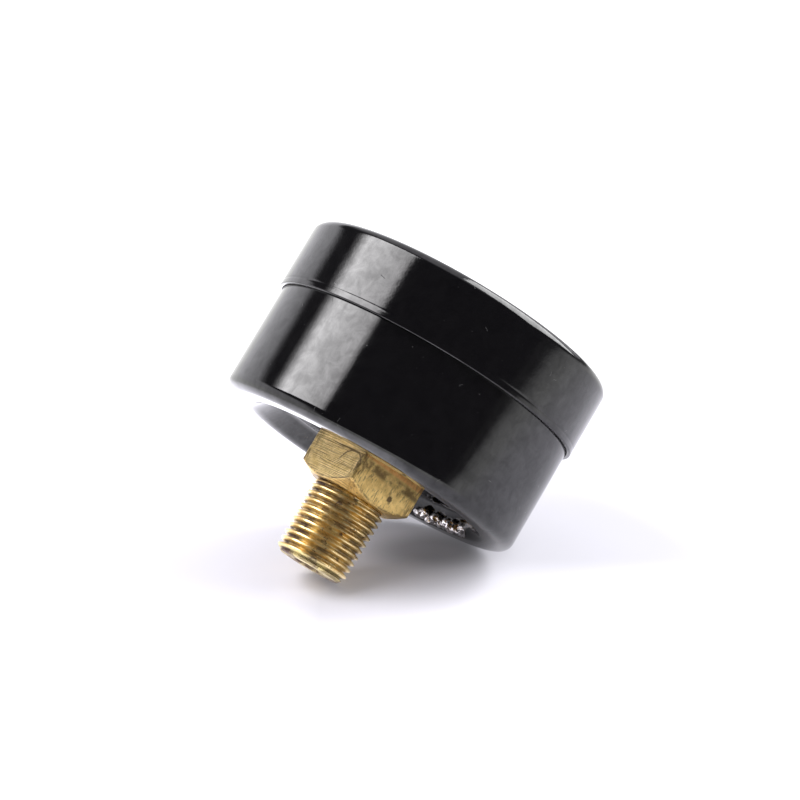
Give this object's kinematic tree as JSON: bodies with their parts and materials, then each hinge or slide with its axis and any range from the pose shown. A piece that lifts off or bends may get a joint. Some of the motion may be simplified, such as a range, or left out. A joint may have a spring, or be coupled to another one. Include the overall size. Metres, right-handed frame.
{
  "type": "pressure gauge",
  "caption": "Round dial pressure gauge with a black drawn-steel case and slip-over cover, brass back stem with wrench square and tapered pipe thread, and a working tube-and-gear movement.",
  "frame": {"origin": "middle of the bounding box, on the gauge axis", "axes": "+Y along the gauge axis towards the threaded stem, so the dial faces -Y; +Z towards the dial's twelve o'clock; +X towards its three o'clock"},
  "size_m": [0.043, 0.0384, 0.043],
  "materials": {
    "case_paint": "glossy black stoved paint on drawn steel",
    "bezel_paint": "glossy black stoved paint on drawn steel",
    "window_glass": "clear flat window",
    "gasket_rubber": "matt black",
    "dial_enamel": "matt white enamel with black scale",
    "pointer_paint": "satin black",
    "socket_brass": "dull machined brass with tool marks and brown stains",
    "movement_brass": "clean stamped brass",
    "tube_bronze": "drawn phosphor bronze",
    "bright_steel": "bright turned steel",
    "solder": "bright lumpy tin solder"
  },
  "bodies": {
    "housing": {"case": "case_paint", "bezel": "bezel_paint", "lens": "window_glass", "lens_gasket": "gasket_rubber", "dial": "dial_enamel", "stop_pin": "bright_steel", "dial_screw_left": "bright_steel", "dial_screw_right": "bright_steel", "dial_post_left": "movement_brass", "dial_post_right": "movement_brass", "socket": "socket_brass", "restrictor_screw": "movement_brass", "case_solder": "solder", "bourdon_tube": "tube_bronze", "tube_root_solder": "solder", "front_plate": "movement_brass", "back_plate": "movement_brass", "pillar_1": "movement_brass", "pillar_2": "movement_brass", "pillar_3": "movement_brass", "plate_screw_1": "bright_steel", "plate_screw_2": "bright_steel", "plate_screw_3": "bright_steel", "movement_screw_1": "bright_steel", "movement_screw_2": "bright_steel", "hairspring": "tube_bronze", "hairspring_stud": "movement_brass"},
    "pointer_shaft": {"pointer": "pointer_paint", "pointer_hub": "movement_brass", "pinion_arbor": "bright_steel", "hairspring_collet": "movement_brass"},
    "sector": {"sector_gear": "movement_brass", "sector_arbor": "bright_steel", "sector_tail_pin": "bright_steel"},
    "tip": {"tube_tip": "movement_brass", "tip_pin": "bright_steel"},
    "link": {"link": "movement_brass"}
  },
  "joints": [
    {"name": "pointer_sweep", "type": "hinge", "parent": "housing", "child": "pointer_shaft", "pos_m": [0, -0.0086, 0], "axis": [0, 1, 0], "range_deg": [0, 270], "deforming": ["hairspring"]},
    {"name": "sector_swing", "type": "hinge", "parent": "housing", "child": "sector", "pos_m": [0.00384, -0.0086, -0.00977], "axis": [0, 1, 0], "range_deg": [-45, 0]},
    {"name": "tip_swing", "type": "hinge", "parent": "housing", "child": "tip", "pos_m": [0, -0.002, 0.00544], "axis": [0, 1, 0], "range_deg": [-8.5, 0], "deforming": ["bourdon_tube"]},
    {"name": "link_turn", "type": "hinge", "parent": "tip", "child": "link", "pos_m": [0.01019, -0.0078, -0.00886], "axis": [0, 1, 0], "range_deg": [0, 8.5]}
  ],
  "couplings": [
    {"joint": "sector_swing", "follows": "pointer_sweep", "ratio": -0.16667},
    {"joint": "tip_swing", "follows": "pointer_sweep", "ratio": -0.031477},
    {"joint": "link_turn", "follows": "pointer_sweep", "ratio": 0.031477}
  ]
}
